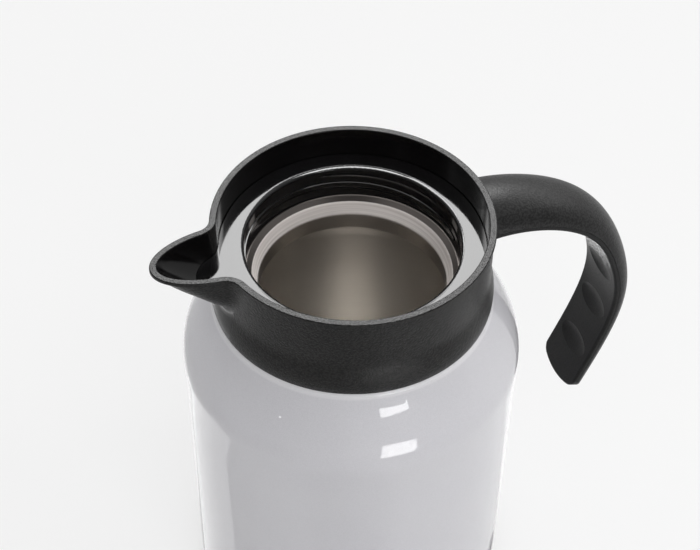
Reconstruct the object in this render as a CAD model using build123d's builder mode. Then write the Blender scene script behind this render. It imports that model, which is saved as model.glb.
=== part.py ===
from build123d import *
from math import radians, sqrt, tan
import os

# Thermal carafe with its stopper taken out, in millimetres.
# The origin is the centre of the base, on the surface it stands on. +Z is up, the handle points
# along +X, the pouring spout along -X, and the XZ plane is the mirror plane.

# -------------------------------------------------- fits
fit_gap = 0.3                 # between moulded pieces that slide or snap together
root_gap = 0.1                # handle root against the collar it is bolted to
seam_gap = 0.15               # hairline seam between the two handle halves
foil_gap = 0.1                # foil wrap round the inner vessel

# -------------------------------------------------- steel flask
rim_height = 200.0            # rim of the collar above the table
body_radius = 67.3
steel_wall = 0.6
vacuum_gap = 4.0              # between the two straight steel walls
throat_radius = 36.7          # bore that the stopper's seal goes into
throat_length = 15.4          # from the lip down to the bend into the shoulder
throat_bend = 2.0
seat_width = 2.1              # cone that the stopper's seal presses on, from the throat outwards
seat_depth = 6.8              # bottom of that cone below the lip
funnel_width = 2.2            # flare from the cone out to the lip
funnel_depth = 1.7
funnel_round = 0.6
lip_width = 2.6               # flat lip, from the flare out to the neck's outside
lip_depth = 25.6              # steel lip below the rim
neck_height = 8.3             # steel lip above the flat step round the neck
neck_round = 1.5
step_width = 8.3              # flat step, from the neck out to the shoulder
step_round = 4.0
# the shoulder's profile, as shares of its width from the step's edge out to the straight wall
shoulder_inset = 0.33         # where it steepens: in from the straight wall
shoulder_drop = 0.915         # and down from the flat step
shoulder_flank = 0.94         # height of the gentler stretch below that
flank_round = 2.0             # rounding under the flank
corner_round = 3.9            # rounding where it steepens
shoulder_bulge = 0.75         # how far the shoulder swells past the straight wall
shoulder_swell = 17.5         # height of that swelling's corner above the straight wall
swell_round = 270.0
bead_start = 3.3              # rolled bead under the collar's edge: down the slope from the step's edge
bead_width = 2.1
bead_rise = 0.3
vessel_rise = 4.5             # inner shoulder starts above the outer flank's foot
vessel_round = 30.0
vessel_ceiling = 11.5         # flat ceiling round the throat

# -------------------------------------------------- base
foot_lift = 1.2               # base cover above the table
shell_edge = 4.0              # painted shell's bottom edge above the table
base_recess = 6.0             # steel base plate above the shell's edge
floor_gap = 3.8               # vacuum between the steel base plate and the inner floor
floor_corner = 8.0
floor_dome = 1.5
floor_weld = 9.0              # weld between vessel and its floor, above the floor
sump_radius = 8.0             # dimple that the sealing bead lies in
sump_depth = 1.5
plate_round = 1.0
seal_radius = 3.5
seal_height = 1.0
seal_hole_radius = 1.2
getter_radius = 7.0
getter_thickness = 1.6
getter_offset = 30.0
cover_plate = 2.4
cover_wall = 2.2
foot_inset = 5.3              # foot ring in from the body's wall
foot_width = 7.0
foot_groove = 1.2
foot_round = 0.5
cover_chamfer = 0.8
shield_thickness = 0.2
shield_margin = 4.0           # foil ends short of the weld and of the shoulder

# -------------------------------------------------- collar
bell_swell = 0.4              # collar's bell past its bottom edge
bell_height = 20.0            # from the bottom edge up to the straight waist
bell_belly = 0.17             # share of that height at which the bell is widest
bell_flank = 0.6              # share at which it is halfway in
waist_margin = 1.4            # straight waist outside the step's edge
skirt_drop = 2.5              # collar's bottom edge below the flat step
skirt_land = 0.6              # width of the collar's bottom edge
lip_overhang = 0.7
lip_thickness = 1.4
rim_band = 2.8                # flat top of the rim
flange_thickness = 2.2
flange_gap = 1.4              # flange round the steel neck
ledge_depth = 12.4            # mouth ring's ledge below the rim
ledge_plate = 2.0
rib_depth = 2.7               # rib inside the bore that the mouth ring seats on
rib_height = 2.0

# -------------------------------------------------- spout
spout_inset = 3.3             # centre of the rim's half oval round the spout, in from the waist
spout_reach = 28.8            # tip beyond that centre
spout_half_width = 14.4
spout_wall = 2.5              # flat top of the spout's tip
spout_depth = 24.0            # where the beak's keel is gone inside the collar's wall
# share of the depth, of the reach and of the width, from the rim down the keel
beak_sections = [(0.0, 1.0, 1.0), (0.21, 0.87, 1.0), (0.4, 0.69, 0.99), (0.58, 0.5, 0.95),
                 (0.75, 0.33, 0.79), (0.87, 0.17, 0.55), (1.0, 0.07, 0.3)]
spout_fillet = 6.5
scoop_inset = 3.2             # centre of the scoop's half oval, in from the bore
scoop_half_width = 12.0
tongue_reach = 13.6           # spout floor at the ledge, beyond that centre
scoop_hollow = 0.78           # share of the scoop's reach that is left half way down
rim_round = 0.4

# -------------------------------------------------- mouth ring
mouth_margin = 4.6            # threaded wall outside the steel throat
ledge_rise = 1.5              # ledge climbs inwards
ledge_round = 1.6
skirt_wall = 3.3
neck_seal_inset = 1.0         # seal outside the mouth's wall
neck_seal_width = 1.3
neck_seal_height = 1.6
thread_height = 2.6
thread_lead = 9.0
thread_turn = 170.0           # degrees that each of the starts runs
thread_starts = 2
thread_top_depth = 14.4       # highest flank below the rim
thread_first = 89.5           # azimuth of the upper end of the first start
thread_width = 2.0
thread_root_width = 3.4
hook_count = 6
hook_angle = 14.0
hook_wall = 1.6
hook_barb = 0.7
hook_barb_height = 2.2

# -------------------------------------------------- clamping
gasket_thickness = 1.0
gasket_margin = 0.5           # gasket inside the edges of the step and the flange
nut_width = 4.6               # passes through the rib
nut_height = 3.9
nut_slots = 6
nut_slot_width = 5.0
nut_slot_depth = 1.6

# -------------------------------------------------- handle
# middle of the handle's thickness: outwards from the collar's waist and down from the rim
handle_path = [(-5.3, 9.0), (28.1, 14.8), (49.0, 29.3), (60.0, 49.1), (64.6, 69.9),
               (60.7, 94.9), (48.4, 127.6)]
handle_spans = 16             # even steps between the handle's cross sections
root_width = 31.0
grip_width = 27.0
root_thickness = 12.6
grip_thickness = 10.4
tip_thickness = 9.0
handle_wall = 2.2
cover_thickness = 2.2         # inner half of the handle
cover_round = 1.2
tip_corner = 6.0
tip_bulge = 3.5               # free end's edge is a shallow arc
tip_clear = 0.03              # outline of the free end outside the widest line of the handle
back_end_round = 2.0
grip_end_round = 1.0
tip_wall = 0.03               # share of the path that closes the free end
tang_share = 0.2              # share of the path that the collar's tang fills
tang_spans = 4
screw_stations = [0.11, 0.18]
screw_radius = 1.5
screw_head_radius = 2.9
screw_length = 7.5
recess_length = 3.0           # cross recess in the head
recess_width = 0.7
recess_depth = 1.1
boss_radius = 3.4
dimple_stations = [0.58, 0.73, 0.875]
dimple_length = 20.0
dimple_width = 10.0
dimple_depth = 1.1
rail_start = 0.26
rail_end = 0.9
rail_spans = 10
rail_width = 1.5              # rails of the inner half that locate the back
rail_height = 1.6

# -------------------------------------------------- derived levels and radii
seat_radius = throat_radius + seat_width
funnel_radius = seat_radius + funnel_width
neck_radius = funnel_radius + lip_width
step_radius = neck_radius + step_width
shoulder_width = body_radius - step_radius
waist_radius = step_radius + waist_margin
lip_height = rim_height - lip_depth
step_height = lip_height - neck_height
collar_bottom = step_height - skirt_drop
corner_level = step_height - shoulder_drop * shoulder_width
flank_level = corner_level - shoulder_flank * shoulder_width
shoulder_start = flank_level - shoulder_swell
ledge_height = rim_height - ledge_depth
seat_height = ledge_height - ledge_plate
rib_bottom = seat_height - rib_height
flange_bottom = step_height + gasket_thickness
flange_top = flange_bottom + flange_thickness
bore_radius = waist_radius + lip_overhang - rim_band
rib_radius = bore_radius - rib_depth
flange_radius = neck_radius + flange_gap
nut_radius = neck_radius + nut_width
mouth_radius = throat_radius + mouth_margin
thread_crest = mouth_radius - thread_height
spout_root = waist_radius - spout_inset
scoop_root = bore_radius - scoop_inset
vessel_radius = body_radius - 2 * steel_wall - vacuum_gap
throat_bottom = lip_height - throat_length
plate_bottom = shell_edge + base_recess
plate_top = plate_bottom + steel_wall
vessel_floor = plate_top + floor_gap + steel_wall
weld_height = vessel_floor + floor_weld
shoulder_slope = (1 - shoulder_inset) / shoulder_drop
skirt_gap = fit_gap * sqrt(1 + shoulder_slope**2)
edge_radius = step_radius + shoulder_slope * skirt_drop + skirt_land + skirt_gap
shell_inner_radius = body_radius - steel_wall
foot_ring_outer = body_radius - foot_inset
foot_ring_inner = foot_ring_outer - foot_width
os.makedirs("parts", exist_ok=True)


def rounded_line(*points, rounds):
    """Line with rounded corners, each rounding limited by the room on its two sides."""
    sides = [Vector(end) - Vector(start) for start, end in zip(points, points[1:])]
    rooms = [side.length / 2 for side in sides]
    rooms[0] = sides[0].length
    rooms[-1] = sides[-1].length
    radii = []
    for corner, wanted in enumerate(rounds):
        turn = radians(sides[corner].get_angle(sides[corner + 1]))
        radii.append(min(wanted, min(rooms[corner : corner + 2]) / tan(turn / 2)))
    return FilletPolyline(*points, radius=radii)


def on_slope(down, out=0.0):
    """Point down the shoulder's steep stretch from the step's edge, and out from its surface."""
    along = Vector(shoulder_slope, -1).normalized() * down
    across = Vector(1, shoulder_slope).normalized() * out
    return (step_radius + along.X + across.X, step_height + along.Y + across.Y)


# -------------------------------------------------- outer shell: painted steel
with BuildPart() as outer_shell:
    with BuildSketch(Plane.XZ):
        with BuildLine():
            rounded_line(
                (body_radius, shell_edge),
                (body_radius, shoulder_start),
                (body_radius + shoulder_bulge, flank_level),
                (body_radius - shoulder_inset * shoulder_width, corner_level),
                on_slope(bead_start + bead_width),
                rounds=[swell_round, flank_round * shoulder_width, corner_round * shoulder_width],
            )
            ThreePointArc(
                on_slope(bead_start + bead_width),
                on_slope(bead_start + bead_width / 2, bead_rise),
                on_slope(bead_start),
            )
            rounded_line(
                on_slope(bead_start),
                (step_radius, step_height),
                (neck_radius, step_height),
                (neck_radius, lip_height - steel_wall),
                rounds=[step_round, neck_round],
            )
            offset(amount=steel_wall, side=Side.LEFT)
        make_face()
    revolve(axis=Axis.Z)
outer_shell.part.label = "outer_shell"
export_step(outer_shell.part, "parts/outer_shell.step")

# -------------------------------------------------- inner vessel: shoulder, throat and lip
with BuildPart() as inner_vessel:
    with BuildSketch(Plane.XZ):
        with BuildLine():
            rounded_line(
                (vessel_radius, weld_height),
                (vessel_radius, flank_level + vessel_rise),
                (throat_radius + vessel_ceiling, throat_bottom),
                (throat_radius, throat_bottom),
                (throat_radius, lip_height - seat_depth),
                (seat_radius, lip_height - funnel_depth),
                (funnel_radius, lip_height),
                (neck_radius, lip_height),
                rounds=[vessel_round, vessel_ceiling, throat_bend, throat_bend, funnel_round, funnel_round],
            )
            offset(amount=steel_wall, side=Side.RIGHT)
        make_face()
    revolve(axis=Axis.Z)
inner_vessel.part.label = "inner_vessel"
export_step(inner_vessel.part, "parts/inner_vessel.step")

# -------------------------------------------------- inner floor: dished, welded to the vessel
with BuildPart() as inner_floor:
    with BuildSketch(Plane.XZ):
        with BuildLine():
            rounded_line(
                (0, vessel_floor + floor_dome),
                (vessel_radius / 3, vessel_floor + floor_dome),
                (vessel_radius, vessel_floor),
                (vessel_radius, weld_height),
                rounds=[vessel_radius, floor_corner],
            )
            offset(amount=steel_wall, side=Side.RIGHT)
        make_face()
    revolve(axis=Axis.Z)
inner_floor.part.label = "inner_floor"
export_step(inner_floor.part, "parts/inner_floor.step")

# -------------------------------------------------- radiation shield: copper foil in the vacuum
shield_radius = vessel_radius + steel_wall + foil_gap
with BuildPart() as radiation_shield:
    with BuildSketch(Plane.XY.offset(weld_height + shield_margin)):
        Circle(shield_radius + shield_thickness)
        Circle(shield_radius, mode=Mode.SUBTRACT)
    extrude(amount=shoulder_start - weld_height - 2 * shield_margin)
radiation_shield.part.label = "radiation_shield"
export_step(radiation_shield.part, "parts/radiation_shield.step")

# -------------------------------------------------- shell base: steel plate that closes the vacuum
with BuildPart() as shell_base:
    with BuildSketch(Plane.XZ):
        with BuildLine():
            rounded_line(
                (shell_inner_radius, shell_edge),
                (shell_inner_radius, plate_top),
                (sump_radius, plate_top),
                (sump_radius - sump_depth, plate_top + sump_depth),
                (seal_hole_radius, plate_top + sump_depth),
                rounds=[plate_round] * 3,
            )
            offset(amount=steel_wall, side=Side.LEFT)
        make_face()
    revolve(axis=Axis.Z)
shell_base.part.label = "shell_base"
export_step(shell_base.part, "parts/shell_base.step")

# -------------------------------------------------- vacuum seal: bead in the sump
with BuildPart() as vacuum_seal:
    with BuildSketch(Plane.XY.offset(plate_bottom + sump_depth)):
        Circle(seal_hole_radius)
    extrude(amount=steel_wall)
    with BuildSketch(Plane.XY.offset(plate_bottom + sump_depth)):
        Circle(seal_radius)
    extrude(amount=-seal_height)
vacuum_seal.part.label = "vacuum_seal"
export_step(vacuum_seal.part, "parts/vacuum_seal.step")

# -------------------------------------------------- getter: pellet on the base plate, in the vacuum
with BuildPart() as getter:
    with BuildSketch(Plane.XY.offset(plate_top)):
        with Locations((getter_offset, 0)):
            Circle(getter_radius)
    extrude(amount=getter_thickness)
getter.part.label = "getter"
export_step(getter.part, "parts/getter.step")

# -------------------------------------------------- base cover: snapped into the recess
cover_wall_radius = shell_inner_radius - steel_wall - fit_gap
with BuildPart() as base_cover:
    with BuildSketch(Plane.XY.offset(foot_lift)):
        Circle(body_radius - fit_gap)
    extrude(amount=shell_edge - foot_lift)
    with BuildSketch(Plane.XY.offset(shell_edge)):
        Circle(cover_wall_radius)
    extrude(amount=base_recess - fit_gap)
    with BuildSketch(Plane.XY.offset(foot_lift + cover_plate)):
        Circle(cover_wall_radius - cover_wall)
    extrude(amount=shell_edge + base_recess, mode=Mode.SUBTRACT)
    with BuildSketch(Plane.XY.offset(foot_lift)):
        Circle(foot_ring_outer + foil_gap)
        Circle(foot_ring_inner - foil_gap, mode=Mode.SUBTRACT)
    extrude(amount=foot_groove, mode=Mode.SUBTRACT)
    chamfer(base_cover.edges().group_by(Axis.Z)[0].sort_by(SortBy.RADIUS)[-1], cover_chamfer)
base_cover.part.label = "base_cover"
export_step(base_cover.part, "parts/base_cover.step")

# -------------------------------------------------- foot ring: silicone
with BuildPart() as foot_ring:
    with BuildSketch(Plane.XY):
        Circle(foot_ring_outer)
        Circle(foot_ring_inner, mode=Mode.SUBTRACT)
    extrude(amount=foot_lift + foot_groove)
    fillet(foot_ring.edges().group_by(Axis.Z)[0], foot_round)
foot_ring.part.label = "foot_ring"
export_step(foot_ring.part, "parts/foot_ring.step")

# -------------------------------------------------- shoulder gasket: under the collar's flange
with BuildPart() as shoulder_gasket:
    with BuildSketch(Plane.XY.offset(step_height)):
        Circle(step_radius - gasket_margin)
        Circle(flange_radius + gasket_margin, mode=Mode.SUBTRACT)
    extrude(amount=gasket_thickness)
shoulder_gasket.part.label = "shoulder_gasket"
export_step(shoulder_gasket.part, "parts/shoulder_gasket.step")

# -------------------------------------------------- neck nut: clamps the collar to the neck
with BuildPart() as neck_nut:
    with BuildSketch(Plane.XY.offset(flange_top)):
        Circle(nut_radius)
        Circle(neck_radius + foil_gap, mode=Mode.SUBTRACT)
        with PolarLocations(nut_radius, nut_slots):
            Rectangle(2 * nut_slot_depth, nut_slot_width, mode=Mode.SUBTRACT)
    extrude(amount=nut_height)
neck_nut.part.label = "neck_nut"
export_step(neck_nut.part, "parts/neck_nut.step")

# -------------------------------------------------- neck seal: silicone ring on the steel lip
seal_inner_radius = mouth_radius + neck_seal_inset
with BuildPart() as neck_seal:
    with BuildSketch(Plane.XY.offset(lip_height)):
        Circle(seal_inner_radius + neck_seal_width)
        Circle(seal_inner_radius, mode=Mode.SUBTRACT)
    extrude(amount=neck_seal_height)
neck_seal.part.label = "neck_seal"
export_step(neck_seal.part, "parts/neck_seal.step")


def collar_outline(grow):
    """Half section of the collar's bell-shaped outside, grown outwards, for turning round the axis."""
    with BuildSketch(Plane.XZ) as outline:
        with BuildLine():
            bell = Spline(
                (edge_radius + grow, collar_bottom),
                (edge_radius + bell_swell + grow, collar_bottom + bell_belly * bell_height),
                (waist_radius + bell_swell + grow, collar_bottom + bell_flank * bell_height),
                (waist_radius + grow, collar_bottom + bell_height),
                tangents=((0.3, 1), (0, 1)),
            )
            Polyline(
                bell @ 1,
                (waist_radius + grow, rim_height),
                (0, rim_height),
                (0, collar_bottom),
                bell @ 0,
            )
        make_face()
    return outline.sketch


def half_oval(height, root, reach, half_width):
    """Face that points along -X: half an oval about the root, closed by a straight stretch."""
    with BuildSketch(Plane.XY.offset(height)) as face:
        with BuildLine():
            nose = EllipticalCenterArc((-root, 0), reach, half_width, start_angle=90, arc_size=180)
            Polyline(nose @ 1, (-flange_radius, -half_width), (-flange_radius, half_width), nose @ 0)
        make_face()
    return face.sketch


def spouted_disc(height, radius, root, reach, half_width, corner):
    """Disc with a half oval running out of it along -X and rounded corners between the two."""
    with BuildSketch(Plane.XY.offset(height)) as face:
        with Locations((-radius, 0)):
            Rectangle(radius, 2 * radius)
        Circle(radius, mode=Mode.INTERSECT)
        add(half_oval(0, root, reach, half_width))
        meeting = face.vertices().sort_by(Axis.X)[:2]
        fillet(meeting, corner)
        Circle(radius)
    return face.sketch


handle_line = Spline(*[(waist_radius + out, 0, rim_height - down) for out, down in handle_path])


def stations(start, end, spans):
    """Evenly spaced shares of the handle's path."""
    return [start + (end - start) * step / spans for step in range(spans + 1)]


def handle_plane(share):
    """Plane across the handle: local X along +Y, local Y out of the hand, local Z along the path."""
    return Plane(origin=handle_line @ share, x_dir=(0, 1, 0), z_dir=handle_line % share)


def handle_size(share):
    """Width and thickness of the handle: stout at the root, slightly thinner at the free end."""
    width = grip_width + (root_width - grip_width) * (1 - share) ** 3
    thickness = (
        tip_thickness
        + (grip_thickness - tip_thickness) * (1 - share**2)
        + (root_thickness - grip_thickness) * (1 - share) ** 6
    )
    return width, thickness


def crown(share, inset=0.0, lift=0.0):
    """Face of the handle's half-oval back, from the seam outwards, inset from its skin and its seam."""
    width, thickness = handle_size(share)
    seam = cover_thickness - thickness / 2 + lift
    with BuildSketch(handle_plane(share)) as face:
        with BuildLine():
            back = EllipticalCenterArc(
                (0, seam),
                width / 2 - inset,
                thickness - cover_thickness - inset - lift,
                arc_size=180,
            )
            Line(back @ 1, back @ 0)
        make_face()
    return face.sketch


def screw_plane(share):
    """Plane on the handle's inner face, facing into the hand."""
    plane = handle_plane(share)
    thickness = handle_size(share)[1]
    return Plane(
        origin=plane.from_local_coords((0, -thickness / 2, 0)),
        x_dir=(0, 1, 0),
        z_dir=-plane.y_dir,
    )


# -------------------------------------------------- collar: bell, spout, rim lip and tang
scoop_reach = spout_root + spout_reach - spout_wall - scoop_root
scoop_corner = spout_fillet + rim_band
with BuildPart() as collar:
    add(collar_outline(0))
    revolve(axis=Axis.Z)
    for depth, reach, width in beak_sections:
        add(
            half_oval(
                rim_height - depth * spout_depth,
                spout_root,
                reach * (spout_reach - lip_overhang),
                width * (spout_half_width - lip_overhang),
            )
        )
    loft()
    root_edges = collar.edges().filter_by(
        lambda edge: edge.center().X < -scoop_root
        and abs(edge.center().Y) > spout_wall
        and edge.center().Z < rim_height - rim_round
    )
    fillet(root_edges, spout_fillet)
    # lip round the rim and the spout
    add(
        spouted_disc(
            rim_height,
            waist_radius + lip_overhang,
            spout_root,
            spout_reach,
            spout_half_width,
            spout_fillet - lip_overhang,
        )
    )
    extrude(amount=-lip_thickness)
    # tang that the handle is clamped to
    for share in stations(0, tang_share, tang_spans):
        add(crown(share, handle_wall + fit_gap, seam_gap))
    loft()
    # inside: skirt over the shoulder, flange, bore and the mouth ring's seat
    with BuildSketch(Plane.XZ):
        with BuildLine():
            Polyline(
                (0, collar_bottom - 1),
                (step_radius + shoulder_slope * (skirt_drop + 1) + skirt_gap, collar_bottom - 1),
                (step_radius + skirt_gap, step_height),
                (step_radius + skirt_gap, flange_bottom),
                (flange_radius, flange_bottom),
                (flange_radius, flange_top),
                (bore_radius, flange_top),
                (bore_radius, rib_bottom),
                (rib_radius, rib_bottom),
                (rib_radius, seat_height),
                (0, seat_height),
                close=True,
            )
        make_face()
    revolve(axis=Axis.Z, mode=Mode.SUBTRACT)
    # pocket for the mouth ring with its tongue, and above it the bore that opens into the scoop
    add(spouted_disc(seat_height, bore_radius, scoop_root, tongue_reach, scoop_half_width, scoop_corner))
    extrude(amount=ledge_plate, mode=Mode.SUBTRACT)
    for share, reach in ((0, tongue_reach), (0.5, scoop_hollow * scoop_reach), (1, scoop_reach)):
        level = ledge_height + share * ledge_depth
        add(spouted_disc(level, bore_radius, scoop_root, reach, scoop_half_width, scoop_corner))
    loft(mode=Mode.SUBTRACT)
    fillet(collar.faces().sort_by(Axis.Z)[-1].edges(), rim_round)
    for share in screw_stations:
        with BuildSketch(screw_plane(share)):
            Circle(boss_radius + fit_gap)
        extrude(amount=-root_thickness, mode=Mode.SUBTRACT)
collar.part.label = "collar"
export_step(collar.part, "parts/collar.step")

# -------------------------------------------------- mouth ring: ledge, tongue, thread and hooks
plate_radius = bore_radius - fit_gap
thread_rise = thread_lead * thread_turn / 360
thread_top = rim_height - thread_top_depth
thread_bottom = thread_top - thread_width / 2 - thread_rise
thread_embed = 0.3            # thread's root inside the skirt's wall
hook_radius = rib_radius - fit_gap
hook_top = rib_bottom - fit_gap
with BuildPart() as mouth_ring:
    add(
        spouted_disc(
            seat_height,
            plate_radius,
            scoop_root,
            tongue_reach - fit_gap,
            scoop_half_width - fit_gap,
            scoop_corner + fit_gap,
        )
    )
    extrude(amount=ledge_plate)
    with BuildSketch(Plane.XZ):
        Polygon(
            (0, lip_height + fit_gap),
            (mouth_radius + skirt_wall, lip_height + fit_gap),
            (mouth_radius + skirt_wall, seat_height),
            (plate_radius, ledge_height),
            (mouth_radius, ledge_height + ledge_rise),
            (0, ledge_height + ledge_rise),
            align=None,
        )
    revolve(axis=Axis.Z)
    with BuildSketch(Plane.XY.offset(lip_height)):
        Circle(mouth_radius)
    extrude(amount=2 * ledge_depth, mode=Mode.SUBTRACT)
    ledge_edge = mouth_ring.edges().filter_by(GeomType.CIRCLE).group_by(Axis.Z)[-1]
    fillet(ledge_edge, ledge_round)
    with BuildSketch(Plane.XY.offset(lip_height)):
        Circle(seal_inner_radius + neck_seal_width + foil_gap)
        Circle(seal_inner_radius - foil_gap, mode=Mode.SUBTRACT)
    extrude(amount=neck_seal_height, mode=Mode.SUBTRACT)
    # snap hooks under the seat rib
    with BuildSketch(Plane.XZ) as hook_outline:
        Polygon(
            (hook_radius - hook_wall, seat_height),
            (hook_radius, seat_height),
            (hook_radius, hook_top),
            (hook_radius + hook_barb, hook_top),
            (hook_radius - hook_wall / 2, hook_top - hook_barb_height),
            (hook_radius - hook_wall, hook_top - hook_barb_height),
            align=None,
        )
    for hook in range(hook_count):
        azimuth = (hook + 0.5) * 360 / hook_count - hook_angle / 2
        add(hook_outline.sketch.rotate(Axis.Z, azimuth))
        revolve(axis=Axis.Z, revolution_arc=hook_angle)
    # stopper thread
    for start in range(thread_starts):
        azimuth = thread_first - thread_turn + start * 360 / thread_starts
        with BuildLine(Plane.XY.offset(thread_bottom).rotated((0, 0, azimuth))) as path:
            Helix(thread_lead, thread_rise, mouth_radius)
        section = Plane(
            Vector(mouth_radius, 0, thread_bottom).rotate(Axis.Z, azimuth),
            x_dir=Vector(1, 0, 0).rotate(Axis.Z, azimuth),
            z_dir=path.line % 0,
        )
        with BuildSketch(section):
            Polygon(
                (thread_embed, -thread_root_width / 2),
                (thread_embed, thread_root_width / 2),
                (0, thread_root_width / 2),
                (thread_crest - mouth_radius, thread_width / 2),
                (thread_crest - mouth_radius, -thread_width / 2),
                (0, -thread_root_width / 2),
                align=None,
            )
        sweep(path=path.line, is_frenet=True)
mouth_ring.part.label = "mouth_ring"
export_step(mouth_ring.part, "parts/mouth_ring.step")

# -------------------------------------------------- free end of the handle: rounded corners
tip_plane = Plane(origin=handle_line @ 1, x_dir=(0, 1, 0), z_dir=-handle_plane(1).y_dir)
tip_side = handle_size(1)[0] / 2 + tip_clear
with BuildSketch(tip_plane) as tip_outline:
    with BuildLine():
        end_arc = ThreePointArc((-tip_side, -tip_bulge), (0, 0), (tip_side, -tip_bulge))
        Polyline(end_arc @ 1, (tip_side, -4 * tip_corner), (-tip_side, -4 * tip_corner), end_arc @ 0)
    make_face()
    fillet(tip_outline.vertices().sort_by(Axis.Y)[2:], tip_corner)
with BuildPart() as tip_cutter:
    with BuildSketch(tip_plane):
        Rectangle(4 * tip_side, 4 * tip_corner)
        add(tip_outline.sketch_local, mode=Mode.SUBTRACT)
    extrude(amount=tip_thickness, both=True)


def on_end(edge, inner):
    """Whether an edge runs along the free end, on the hand's side or on the back."""
    place = tip_plane.to_local_coords(edge.center())
    if inner:
        return place.Z > (tip_thickness - cover_thickness) / 2 and place.Y > -tip_bulge - tip_corner / 2
    return place.Z < -tip_thickness / 3 and place.Y > -tip_bulge / 2


# -------------------------------------------------- handle shell: hollow back with screw bosses
with BuildPart() as handle_shell:
    for share in stations(0, 1, handle_spans):
        add(crown(share, 0.0, seam_gap))
    loft()
    add(tip_cutter.part, mode=Mode.SUBTRACT)
    fillet(handle_shell.edges().filter_by(lambda edge: on_end(edge, False)), back_end_round)
    for share in stations(0, 1 - tip_wall, handle_spans):
        add(crown(share, handle_wall))
    loft(mode=Mode.SUBTRACT)
    for share in screw_stations:
        boss_plane = screw_plane(share).offset(-cover_thickness - seam_gap)
        with BuildSketch(boss_plane):
            Circle(boss_radius)
        extrude(amount=-(handle_size(share)[1] - cover_thickness - handle_wall))
        with BuildSketch(boss_plane):
            Circle(screw_radius + foil_gap)
        extrude(amount=-screw_length, mode=Mode.SUBTRACT)
    add(collar_outline(root_gap))
    revolve(axis=Axis.Z, mode=Mode.SUBTRACT)
handle_shell.part.label = "handle_shell"
export_step(handle_shell.part, "parts/handle_shell.step")

# -------------------------------------------------- handle grip: inner half with finger grooves
dimple_radius = (dimple_width / 2) ** 2 / (2 * dimple_depth) + dimple_depth / 2
with BuildPart() as handle_grip:
    for share in stations(0, 1, handle_spans):
        width, thickness = handle_size(share)
        with BuildSketch(handle_plane(share)) as section:
            with Locations((0, (cover_thickness - thickness) / 2)):
                Rectangle(width, cover_thickness)
            fillet(section.vertices().sort_by(Axis.Y)[:2], cover_round)
    loft()
    add(tip_cutter.part, mode=Mode.SUBTRACT)
    fillet(handle_grip.edges().filter_by(lambda edge: on_end(edge, True)), grip_end_round)
    for side in (-1, 1):
        for share in stations(rail_start, rail_end, rail_spans):
            width, thickness = handle_size(share)
            offset_across = side * (width / 2 - handle_wall - 3 * fit_gap - rail_width / 2)
            with BuildSketch(handle_plane(share)):
                with Locations((offset_across, cover_thickness - thickness / 2 + rail_height / 2)):
                    Rectangle(rail_width, rail_height)
        loft()
    for share in dimple_stations:
        inner_face = screw_plane(share)
        profile_plane = Plane(inner_face.origin, x_dir=inner_face.x_dir, z_dir=-inner_face.y_dir)
        axle = Axis(
            inner_face.from_local_coords((0, 0, dimple_radius - dimple_depth)),
            inner_face.x_dir,
        )
        with BuildSketch(profile_plane):
            with BuildLine():
                groove = ThreePointArc(
                    (-dimple_length / 2, 0),
                    (0, -dimple_depth),
                    (dimple_length / 2, 0),
                )
                Polyline(
                    groove @ 1,
                    (dimple_length / 2, dimple_radius - dimple_depth),
                    (-dimple_length / 2, dimple_radius - dimple_depth),
                    groove @ 0,
                )
            make_face()
        revolve(axis=axle, mode=Mode.SUBTRACT)
    for share in screw_stations:
        with Locations(screw_plane(share)):
            CounterSinkHole(
                screw_radius + foil_gap,
                screw_head_radius + foil_gap,
                2 * cover_thickness,
            )
    add(collar_outline(root_gap))
    revolve(axis=Axis.Z, mode=Mode.SUBTRACT)
handle_grip.part.label = "handle_grip"
export_step(handle_grip.part, "parts/handle_grip.step")

# -------------------------------------------------- handle screws: up through the grip into the bosses
with BuildPart() as handle_screws:
    for share in screw_stations:
        head_plane = screw_plane(share)
        with BuildSketch(head_plane):
            Circle(screw_radius)
        extrude(amount=-screw_length)
        with BuildSketch(head_plane):
            Circle(screw_head_radius)
        with BuildSketch(head_plane.offset(screw_radius - screw_head_radius)):
            Circle(screw_radius)
        loft()
        with BuildSketch(head_plane):
            Rectangle(recess_length, recess_width)
            Rectangle(recess_width, recess_length)
        extrude(amount=-recess_depth, mode=Mode.SUBTRACT)
handle_screws.part.label = "handle_screws"
export_step(handle_screws.part, "parts/handle_screws.step")
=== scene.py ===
"""Thermal carafe on a pale glossy table: materials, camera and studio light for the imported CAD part.

Lengths are metres in the part's own frame: +Z up, the handle along +X, the spout along -X. Every node
keeps its CAD mesh and gets a procedural material. The only mesh made here is the table top."""
from math import cos, pi, radians, sin

import bpy
from mathutils import Matrix, Vector

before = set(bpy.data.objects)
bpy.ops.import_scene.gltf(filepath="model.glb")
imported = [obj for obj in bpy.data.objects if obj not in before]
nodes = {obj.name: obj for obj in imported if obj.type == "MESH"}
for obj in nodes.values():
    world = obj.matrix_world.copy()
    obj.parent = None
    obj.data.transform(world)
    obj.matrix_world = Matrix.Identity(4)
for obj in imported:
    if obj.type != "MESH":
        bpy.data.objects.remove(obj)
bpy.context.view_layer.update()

# ---------------------------------------------------------------- sizes that the materials follow
RIM = 0.2                     # height of the collar's flat rim
RIM_LIP = 0.001               # how far down its sides the rim's finish reaches
BORE = 0.0512                 # radius of the collar's inside wall
SCOOP_CENTRE = -0.048         # half oval of the spout's channel, seen from above
SCOOP_REACH = 0.0283
SCOOP_HALF_WIDTH = 0.012
EDGE = 0.0005                 # rounded edge between polished and grained plastic
LEDGE_START = 0.0429          # radius at which the mouth ring's ledge leaves its rounded inner edge
LEDGE_CLIMB = 0.18            # slope of the ledge, levelled by its polish
BEAD = 0.1614                 # height of the bead under the collar
BEAD_BLEND = 0.0006           # width of the change to the painted sheen below it
WALL_SHADE_START = 0.09             # heights between which painted shade darkens the vessel's wall
WALL_SHADE_END = 0.15
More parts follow.
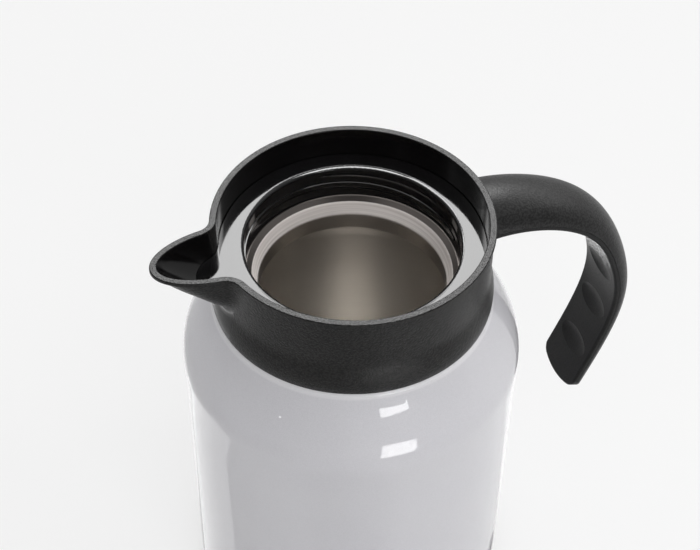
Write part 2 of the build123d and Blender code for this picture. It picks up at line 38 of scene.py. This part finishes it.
SEAT = 0.1676                 # height of the lower edge of the throat's satin cone
SEAT_BLEND = 0.0007           # half width of that soft edge
FLARE = 0.1727                # height of the lower edge of the flare above the cone, which is painted dark as painted shade
BLEND = 0.0002                # width of a sharp change between two finishes

# ---------------------------------------------------------------- sizes of the textures' features
FLAKE = 0.00022               # metal flake in the lacquer
ORANGE_PEEL = 0.003           # waves of its clear coat
LACQUER_CLOUDS = 0.03         # slow changes in its colour
TURNED_LINE = 0.0003          # lines left by turning
TURNED_BAND = 0.02            # faint broad bands among them
SEAT_RING = 0.0014            # rings on the throat's cone
POLISH_RING = 0.0006          # rings on the mouth ring
POLISH_MARK = 0.008           # soft marks on it from use
METAL_GRAIN = 0.0004          # grain and blotches of sheet metal
METAL_BLOTCH = 0.012
SOFT_CLOUD = 0.02             # slow changes over moulded plastic
COARSE_GRAIN = 0.0008         # eroded grain, about two pixels across in the main view
RUBBER_GRAIN = 0.0006
FINE_GRAIN = 0.0004
SPECKLE = 0.00035             # finest part of the collar's grain
TABLE_CLOUD = 0.3


def colour(red, green, blue):
    """A linear colour."""
    return (red, green, blue, 1.0)


def grey(level):
    return colour(level, level, level)


def dimmed(base, factor):
    return colour(*[factor * part for part in base[:3]])


# ---------------------------------------------------------------- colours
FLAKE_DARK = colour(0.485, 0.480, 0.508)
FLAKE_LIGHT = colour(0.545, 0.54, 0.568)
LACQUER_CLOUD = colour(0.60, 0.595, 0.605)
# painted sheen: lighter lacquer on the bead under the collar
LACQUER_BEAD_SHEEN = colour(0.68, 0.675, 0.69)
VESSEL_STEEL = colour(0.775, 0.745, 0.705)
# painted shade on the vessel's upper wall
WALL_PAINTED_SHADE = colour(0.36, 0.33, 0.31)
# painted shade on the throat's flare
FLARE_PAINTED_SHADE = colour(0.09, 0.08, 0.075)
SEAT_DARK = colour(0.74, 0.685, 0.65)
SEAT_LIGHT = colour(0.95, 0.895, 0.86)
BASE_STEEL = colour(0.6, 0.59, 0.57)
SCREW_STEEL = colour(0.55, 0.54, 0.52)
COPPER = colour(0.85, 0.47, 0.32)
BRAZE = colour(0.72, 0.66, 0.5)
GETTER = colour(0.3, 0.29, 0.28)
BLACK = colour(0.008, 0.0078, 0.0077)
BLACK_SHELL = colour(0.014, 0.0138, 0.0138)
# the grip's plastic, painted darker than the shell as painted shade on the handle's inner face
BLACK_GRIP_PAINTED_SHADE = colour(0.005, 0.0049, 0.0049)
COLLAR_PIT = colour(0.0015, 0.0014, 0.0013)
COLLAR_TOP = colour(0.0105, 0.0102, 0.0098)
COLLAR_POLISHED = colour(0.0015, 0.0013, 0.0014)
RING_DARK = colour(0.0025, 0.0024, 0.0026)
RING_LIGHT = colour(0.0045, 0.0044, 0.0047)
NUT_GREY = grey(0.03)
FOOT_SILICONE = colour(0.03, 0.03, 0.031)
GASKET_SILICONE = grey(0.3)
SEAL_SILICONE = colour(0.42, 0.42, 0.41)
TABLE_DARK = colour(0.86, 0.86, 0.858)
TABLE_LIGHT = colour(0.88, 0.88, 0.878)
TABLE_SEEN = grey(0.94)       # even white that the camera sees
TABLE_IN_GLOSS = grey(0.62)   # dimmer white that reflections see
TABLE_MIRROR = grey(0.9)


class Nodes:
    """A node tree of a material or the world: each call adds a node, feeds it and returns its result."""

    def __init__(self, owner):
        owner.use_nodes = True
        self.tree = owner.node_tree
        self.tree.nodes.clear()

    def add(self, kind, feeds=None, **settings):
        """The node itself. A feed is another node's output or a plain value."""
        node = self.tree.nodes.new("ShaderNode" + kind)
        for key, value in settings.items():
            setattr(node, key, value)
        for key, value in (feeds or {}).items():
            if isinstance(value, bpy.types.NodeSocket):
                self.tree.links.new(value, node.inputs[key])
            else:
                node.inputs[key].default_value = value
        return node

    def math(self, operation, *values):
        return self.add("Math", dict(enumerate(values)), operation=operation).outputs[0]

    def plus(self, first, second):
        return self.math("ADD", first, second)

    def minus(self, first, second):
        return self.math("SUBTRACT", first, second)

    def times(self, first, second):
        return self.math("MULTIPLY", first, second)

    def span(self, value, low, high, start=0.0, end=1.0):
        """A level that goes from start to end while value goes from low to high, and no further."""
        feeds = {"Value": value, "From Min": low, "From Max": high, "To Min": start, "To Max": end}
        return self.add("MapRange", feeds).outputs["Result"]


class Paint(Nodes):
    """One material, which knows the place on its object and the distance from the part's axis."""

    def __init__(self, name):
        self.material = bpy.data.materials.new(name)
        super().__init__(self.material)
        self.place = self.add("TexCoord").outputs["Object"]
        axes = self.add("SeparateXYZ", {"Vector": self.place}).outputs
        self.x, self.y, self.z = axes["X"], axes["Y"], axes["Z"]
        squares = self.plus(self.times(self.x, self.x), self.times(self.y, self.y))
        self.radius = self.math("POWER", squares, 0.5)

    def noise(self, size, detail=2.0, vector=None):
        """Noise whose features are about size across."""
        feeds = {"Vector": vector or self.place, "Scale": 1 / size, "Detail": detail}
        return self.add("TexNoise", feeds).outputs["Fac"]

    def cells(self, size):
        """A random level for each small cell."""
        cell = self.add("TexVoronoi", {"Vector": self.place, "Scale": 1 / size})
        return self.add("SeparateColor", {"Color": cell.outputs["Color"]}).outputs["Red"]

    def turned(self, size, across):
        """Noise drawn out round the axis, as a lathe leaves it, with its lines side by side in across."""
        angle = self.times(self.math("ARCTAN2", self.y, self.x), size * 0.4)
        lines = self.add("CombineXYZ", {"X": across, "Y": angle})
        return self.noise(size, vector=lines.outputs["Vector"])

    def mix(self, share, first, second):
        """The first colour where share is 0, the second where it is 1."""
        return self.add("Mix", {0: share, 6: first, 7: second}, data_type="RGBA").outputs[2]

    def bump(self, height, depth, under=None):
        feeds = {"Height": height, "Distance": depth, "Strength": 1.0}
        if under is not None:
            feeds["Normal"] = under
        return self.add("Bump", feeds).outputs["Normal"]

    def facing_up(self):
        """1 where the surface faces up, -1 where it faces down."""
        normal = self.add("NewGeometry").outputs["Normal"]
        return self.add("SeparateXYZ", {"Vector": normal}).outputs["Z"]

    def surface(self, **feeds):
        named = {key.replace("_", " "): value for key, value in feeds.items()}
        shader = self.add("BsdfPrincipled", named)
        self.add("OutputMaterial", {"Surface": shader.outputs["BSDF"]})
        return self.material


# ---------------------------------------------------------------- materials
def lacquer():
    """Silver lacquer: fine metal flake under a clear coat with a trace of orange peel. It is a little
    lighter in soft clouds, and from the bead upwards it is painted lighter as a painted sheen."""
    p = Paint("silver_lacquer")
    flake = p.cells(FLAKE)
    cloud = p.noise(LACQUER_CLOUDS)
    base = p.mix(flake, FLAKE_DARK, FLAKE_LIGHT)
    base = p.mix(p.span(cloud, 0.35, 0.65, 0.0, 0.12), base, LACQUER_CLOUD)
    # painted sheen: the lacquer is painted lighter from the bead upwards, standing in for the light the
    # bead catches
    base = p.mix(p.span(p.z, BEAD - BEAD_BLEND, BEAD, 0.0, 0.5), base, LACQUER_BEAD_SHEEN)
    peel = p.bump(p.noise(ORANGE_PEEL, detail=1.0), depth=0.000006)
    return p.surface(
        Base_Color=base,
        Metallic=0.15,
        Roughness=p.span(p.plus(flake, cloud), 0.4, 1.6, 0.45, 0.55),
        Normal=p.bump(flake, depth=0.000004, under=peel),
        Coat_Weight=1.0,
        Coat_Roughness=0.025,
        Coat_Normal=peel,
    )


def steel(name, base, smooth, rough, flat=False, throat=False):
    """Turned stainless steel with fine lines and faint broad bands round its axis. They lie side by side
    in height, or in radius on a flat part. In the throat, painted shade darkens the wall upwards, and
    above it come a satin cone with rings and a flare painted dark as painted shade."""
    p = Paint(name)
    across = p.radius if flat else p.z
    fine = p.turned(TURNED_LINE, across)
    broad = p.turned(TURNED_BAND, across)
    shade = p.plus(p.span(fine, 0.3, 0.7, 0.0, 0.3), p.span(broad, 0.3, 0.7, 0.0, 0.7))
    roughness = p.span(shade, 0.0, 1.0, rough, smooth)
    metal = p.mix(shade, dimmed(base, 0.94), base)
    metallic = 1.0
    if throat:
        above_seat = p.span(p.z, SEAT - SEAT_BLEND, SEAT + SEAT_BLEND)
        below_flare = p.span(p.z, FLARE, FLARE + BLEND, 1.0, 0.0)
        seat = p.times(above_seat, below_flare)
        roughness = p.plus(roughness, p.times(seat, 0.25))
        metallic = p.minus(1.0, p.times(seat, 0.5))
        # painted shade: the wall is painted darker upwards towards the shoulder
        metal = p.mix(p.span(p.z, WALL_SHADE_START, WALL_SHADE_END, 0.0, 0.6), metal, WALL_PAINTED_SHADE)
        # painted shade: the flare above the cone is painted nearly black
        metal = p.mix(p.span(p.z, FLARE, FLARE + BLEND, 0.0, 0.95), metal, FLARE_PAINTED_SHADE)
        rings = p.span(p.turned(SEAT_RING, across), 0.38, 0.62)
        metal = p.mix(seat, metal, p.mix(rings, SEAT_DARK, SEAT_LIGHT))
    tangent = p.add("Tangent", direction_type="RADIAL", axis="Z").outputs["Tangent"]
    return p.surface(
        Base_Color=metal,
        Metallic=metallic,
        Roughness=roughness,
        Anisotropic=0.6,
        Anisotropic_Rotation=0.25,
        Tangent=tangent,
        Normal=p.bump(fine, depth=0.0000015),
    )


def sheet_metal(name, base, rough, grain_size=METAL_GRAIN):
    """Foil, braze or sintered metal seen when the flask is opened up."""
    p = Paint(name)
    grain = p.noise(grain_size, detail=4.0)
    blotch = p.noise(METAL_BLOTCH, detail=3.0)
    return p.surface(
        Base_Color=p.mix(p.span(blotch, 0.35, 0.65), dimmed(base, 0.7), base),
        Metallic=1.0,
        Roughness=p.span(grain, 0.3, 0.7, rough, rough + 0.15),
        Normal=p.bump(grain, depth=0.00002),
    )


def moulded(name, base, rough, grain_size=FINE_GRAIN, grain_depth=0.000012, pits=0.8):
    """Moulded plastic or rubber with an eroded grain whose pits are darker by the factor pits."""
    p = Paint(name)
    grain = p.noise(grain_size)
    cloud = p.noise(SOFT_CLOUD)
    tops = p.span(grain, 0.42, 0.58)
    worn = p.plus(p.span(cloud, 0.3, 0.7, 0.0, 0.5), p.times(tops, 0.5))
    return p.surface(
        Base_Color=p.mix(tops, dimmed(base, pits), base),
        Roughness=p.span(worn, 0.0, 1.0, rough + 0.12, rough),
        Specular_IOR_Level=0.3,
        Normal=p.bump(grain, grain_depth),
    )


def collar_plastic():
    """Black collar: eroded grain outside and on the rim, polished down its bore and in the spout."""
    p = Paint("collar_plastic")
    facing = p.facing_up()
    along = p.math("DIVIDE", p.minus(p.x, SCOOP_CENTRE), SCOOP_REACH + EDGE)
    across = p.math("DIVIDE", p.y, SCOOP_HALF_WIDTH + EDGE)
    oval = p.plus(p.times(along, along), p.times(across, across))
    above_beak = p.span(facing, -0.3, -0.1)
    in_scoop = p.times(p.span(oval, 0.99, 1.01, 1.0, 0.0), above_beak)
    in_bore = p.span(p.radius, BORE + EDGE - BLEND / 2, BORE + EDGE, 1.0, 0.0)
    at_rim = p.span(p.z, RIM - RIM_LIP - BLEND, RIM - RIM_LIP + BLEND)
    on_rim = p.times(p.span(facing, 0.9, 0.98), at_rim)
    polished = p.times(p.math("MAXIMUM", in_scoop, in_bore), p.minus(1.0, on_rim))

    grain = p.noise(COARSE_GRAIN)
    speckle = p.noise(SPECKLE, detail=1.0)
    cloud = p.noise(SOFT_CLOUD)
    grained = p.span(p.plus(cloud, grain), 0.7, 1.3, 0.42, 0.32)
    grained = p.minus(grained, p.times(on_rim, 0.14))
    smooth = p.span(cloud, 0.3, 0.7, 0.13, 0.19)
    base = p.mix(p.span(grain, 0.42, 0.58), COLLAR_PIT, COLLAR_TOP)
    depth = p.span(polished, 0.0, 1.0, 0.0002, 0.0000004)
    depth = p.times(depth, p.span(on_rim, 0.0, 1.0, 1.0, 0.8))
    return p.surface(
        Base_Color=p.mix(polished, base, COLLAR_POLISHED),
        Roughness=p.plus(p.times(polished, smooth), p.times(p.minus(1.0, polished), grained)),
        Specular_IOR_Level=0.27,
        Normal=p.bump(p.plus(grain, p.times(speckle, 0.4)), depth),
    )


def polished_plastic():
    """Polished black mouth ring with faint rings, a few soft marks from use and a dished ledge."""
    p = Paint("mouth_plastic")
    rings = p.turned(POLISH_RING, p.radius)
    marks = p.noise(POLISH_MARK, detail=4.0)
    dish = p.span(p.radius, LEDGE_START, BORE, 0.0, LEDGE_CLIMB * (BORE - LEDGE_START))
    return p.surface(
        Base_Color=p.mix(marks, RING_DARK, RING_LIGHT),
        Roughness=p.span(marks, 0.35, 0.65, 0.04, 0.1),
        Normal=p.bump(rings, depth=0.0000008, under=p.bump(dish, depth=1.0)),
    )


finishes = {
    "outer_shell": lacquer(),
    "inner_vessel": steel("vessel_steel", VESSEL_STEEL, smooth=0.27, rough=0.35, throat=True),
    "inner_floor": steel("floor_steel", VESSEL_STEEL, smooth=0.3, rough=0.4, flat=True),
    "shell_base": steel("base_steel", BASE_STEEL, smooth=0.3, rough=0.4, flat=True),
    "radiation_shield": sheet_metal("copper_foil", COPPER, rough=0.2),
    "vacuum_seal": sheet_metal("braze", BRAZE, rough=0.35),
    "getter": sheet_metal("getter_alloy", GETTER, rough=0.6, grain_size=0.0002),
    "base_cover": moulded("base_plastic", BLACK, rough=0.42),
    "foot_ring": moulded("foot_silicone", FOOT_SILICONE, rough=0.55,
                         grain_size=COARSE_GRAIN, grain_depth=0.00001),
    "shoulder_gasket": moulded("gasket_silicone", GASKET_SILICONE, rough=0.5,
                               grain_size=RUBBER_GRAIN, grain_depth=0.000006),
    "neck_seal": moulded("seal_silicone", SEAL_SILICONE, rough=0.45,
                         grain_size=RUBBER_GRAIN, grain_depth=0.000006),
    "neck_nut": moulded("nut_plastic", NUT_GREY, rough=0.45),
    "collar": collar_plastic(),
    "mouth_ring": polished_plastic(),
    "handle_shell": moulded("handle_plastic", BLACK_SHELL, rough=0.3,
                            grain_size=COARSE_GRAIN, grain_depth=0.00012, pits=0.15),
    # painted shade: the grip is painted darker than the shell
    "handle_grip": moulded("grip_plastic", BLACK_GRIP_PAINTED_SHADE, rough=0.4,
                           grain_size=RUBBER_GRAIN, grain_depth=0.00003, pits=0.3),
    "handle_screws": steel("screw_steel", SCREW_STEEL, smooth=0.3, rough=0.45),
}
for name, finish in finishes.items():
    nodes[name].data.materials.clear()
    nodes[name].data.materials.append(finish)


# ---------------------------------------------------------------- table
TABLE_SIDE = 12


def table():
    """Glossy white table. The camera sees it mostly as even white, with a share of its real shading that
    keeps the carafe's shadow. Reflections see a dimmer white, half covered by a clear mirror image."""
    p = Paint("table")
    rays = p.add("LightPath").outputs

    def over(share, below, above):
        return p.add("MixShader", {0: share, 1: below.outputs[0], 2: above.outputs[0]})

    top = p.add("BsdfDiffuse", {"Color": p.mix(p.noise(TABLE_CLOUD), TABLE_DARK, TABLE_LIGHT)})
    dimmer = p.add("BsdfDiffuse", {"Color": TABLE_IN_GLOSS})
    mirror = p.add("BsdfGlossy", {"Color": TABLE_MIRROR, "Roughness": 0.006})
    even = p.add("Emission", {"Color": TABLE_SEEN, "Strength": 1.0})
    real = over(rays["Is Glossy Ray"], top, over(0.5, dimmer, mirror))
    seen = over(p.times(rays["Is Camera Ray"], 0.7), real, even)
    p.add("OutputMaterial", {"Surface": seen.outputs[0]})
    return p.material


bpy.ops.mesh.primitive_plane_add(size=TABLE_SIDE)
floor = bpy.context.object
floor.name = "table_top"
floor.data.materials.append(table())

# ---------------------------------------------------------------- lamps
PHOTO_TURN = -21.5            # degrees from the photograph's frame to the part's


def direction(azimuth, elevation):
    """The way to something at that azimuth and elevation, in degrees of the photograph's frame."""
    turn, rise = radians(azimuth + PHOTO_TURN), radians(elevation)
    return Vector((cos(rise) * cos(turn), cos(rise) * sin(turn), sin(rise)))


def receivers(name, *objects):
    """What a lamp can be limited to: a collection that isn't in the scene itself."""
    group = bpy.data.collections.new(name)
    for item in objects:
        group.objects.link(item)
    return group


def softbox(name, aim, azimuth, elevation, distance, width, height, radiance,
            lights=None, diffuse=True, glossy=True):
    """Rectangular lamp of even radiance, that way and that far from the point aim, and turned to it.
    It lights everything, or only the receivers in lights, and diffuse or glossy can be left out."""
    lamp = bpy.data.lights.new(name, "AREA")
    lamp.shape = "RECTANGLE"
    lamp.size, lamp.size_y = width, height
    lamp.energy = radiance * width * height * pi
    box = bpy.data.objects.new(name, lamp)
    bpy.context.scene.collection.objects.link(box)
    away = direction(azimuth, elevation)
    box.location = Vector(aim) + away * distance
    box.rotation_euler = away.to_track_quat("Z", "Y").to_euler()
    box.visible_diffuse = diffuse
    box.visible_glossy = glossy
    if lights:
        box.light_linking.receiver_collection = lights


CARAFE = receivers("carafe", *nodes.values())
ON_TABLE = receivers("on_table", floor)
MOUTH = receivers("mouth", nodes["mouth_ring"])
HANDLE = receivers("handle", nodes["handle_shell"])

RIM_CENTRE = (0, 0, RIM)
HANDLE_TOP = (0.08, 0, 0.19)
SHOULDER = (0.007, -0.0595, 0.16)
SHOULDER_LEFT = (-0.05, -0.04, 0.15)
SHOULDER_IN_TABLE = (0, -0.06, -0.14)   # where the table shows the shoulder
BODY_IN_TABLE = (0, 0, -0.1)
TABLE_BEHIND = (0.126, 0.110, 0)        # where the handle's inside sees the table

# The main light and the upper highlight on the shoulder, then the lower highlight, which is that
# lamp seen in the table
softbox("key", SHOULDER, azimuth=-61.7, elevation=16.2, distance=5.0, width=1.6, height=0.46,
        radiance=8.5, lights=CARAFE)
softbox("key_in_table", SHOULDER_IN_TABLE, azimuth=-61.3, elevation=16.0, distance=5.0, width=1.75,
        height=1.35, radiance=17, lights=ON_TABLE, diffuse=False)
# The pale band on the body's left, seen in the table too
softbox("left_in_table", SHOULDER_IN_TABLE, azimuth=146, elevation=58, distance=2.0, width=1.1,
        height=0.7, radiance=1.1, lights=ON_TABLE, diffuse=False)
# The patch of light inside the handle's bend, seen in the table behind the carafe
softbox("glint_in_table", TABLE_BEHIND, azimuth=103.3, elevation=53, distance=0.8, width=0.16,
        height=0.2, radiance=10, lights=ON_TABLE, diffuse=False)
# What the ledge, the rim and the collar's top reflect
softbox("back", RIM_CENTRE, azimuth=90, elevation=45, distance=2.4, width=1.6, height=0.92,
        radiance=9.3, lights=CARAFE, diffuse=False)
# The bright line round the mouth's inner edge, and the streaks on its wall
softbox("top", RIM_CENTRE, azimuth=-90, elevation=72, distance=1.0, width=1.2, height=0.65,
        radiance=17, lights=MOUTH, diffuse=False)
softbox("left", RIM_CENTRE, azimuth=150, elevation=57, distance=1.5, width=1.1, height=0.6,
        radiance=14, lights=MOUTH, diffuse=False)
softbox("window", RIM_CENTRE, azimuth=126, elevation=27, distance=2.0, width=0.5, height=0.6,
        radiance=12, lights=MOUTH, diffuse=False)
# The sheen on the handle's back
softbox("side", HANDLE_TOP, azimuth=42, elevation=32, distance=2.0, width=1.5, height=0.8,
        radiance=1.7, lights=HANDLE, diffuse=False)
# The pale outlines of the body and the handle, seen in the table
softbox("back_in_table", BODY_IN_TABLE, azimuth=90, elevation=45, distance=2.4, width=2.6,
        height=0.92, radiance=0.6, lights=ON_TABLE, diffuse=False)
# Soft light from the right, the sparkle on the shoulder's left, and soft light from the front
softbox("fill", SHOULDER, azimuth=-5, elevation=25, distance=2.0, width=1.2, height=1.2,
        radiance=1.9, glossy=False)
softbox("small", SHOULDER_LEFT, azimuth=-132, elevation=3, distance=1.2, width=0.03, height=0.03,
        radiance=8)
softbox("front", SHOULDER, azimuth=-70, elevation=45, distance=2.0, width=1.2, height=1.2,
        radiance=2.0, glossy=False)


# ---------------------------------------------------------------- room
def room():
    """White wall behind the table, greyer room in front of it, a bright ceiling, and overhead a dark
    card that only reflections show. The camera sees an even white."""
    world = bpy.data.worlds.new("room")
    w = Nodes(world)
    way = w.add("TexCoord").outputs["Generated"]
    rays = w.add("LightPath").outputs

    def towards(azimuth, elevation):
        """Cosine of the angle to that direction."""
        feeds = {0: way, 1: direction(azimuth, elevation)}
        return w.add("VectorMath", feeds, operation="DOT_PRODUCT").outputs["Value"]

    def blend(share, first, second):
        return w.add("Mix", {0: share, 2: first, 3: second}).outputs[0]

    behind = towards(82, 0)
    wall = w.span(behind, -0.08, 0.08, 0.5, 0.9)
    above = w.span(behind, 0.1, 0.5, 1.0, 1.5)
    ceiling = w.span(towards(0, 90), 0.6, 0.72)
    card = w.times(w.span(towards(-87, 66), 0.93, 0.97, 0.0, 0.8), rays["Is Glossy Ray"])
    lit = w.times(blend(ceiling, wall, above), w.minus(1.0, card))
    seen = w.add("Background", {"Strength": blend(rays["Is Camera Ray"], lit, 0.88)})
    w.add("OutputWorld", {"Surface": seen.outputs[0]})
    return world


bpy.context.scene.world = room()

# ---------------------------------------------------------------- camera at the photograph's angle
# Worked out from the circles of the rim and the mouth. The columns are the camera's right, up and
# back in the photograph's frame. Its place is in the part's frame.
CAMERA_AXES = Matrix(((0.99985583, -0.01691941, 0.00143607),
                      (0.01313122, 0.71682112, -0.69713346),
                      (0.01076568, 0.69705181, 0.71693994)))
CAMERA_PLACE = (-0.15598, -0.39597, 0.60772)

lens = bpy.data.cameras.new("camera")
lens.lens = 80.92
lens.sensor_width = 36
lens.sensor_fit = "HORIZONTAL"
lens.clip_start = 0.01
camera = bpy.data.objects.new("camera", lens)
bpy.context.scene.collection.objects.link(camera)
turned_axes = Matrix.Rotation(radians(PHOTO_TURN), 3, "Z") @ CAMERA_AXES
camera.matrix_world = Matrix.Translation(CAMERA_PLACE) @ turned_axes.to_4x4()
bpy.context.scene.camera = camera
bpy.context.scene.view_settings.view_transform = "Standard"
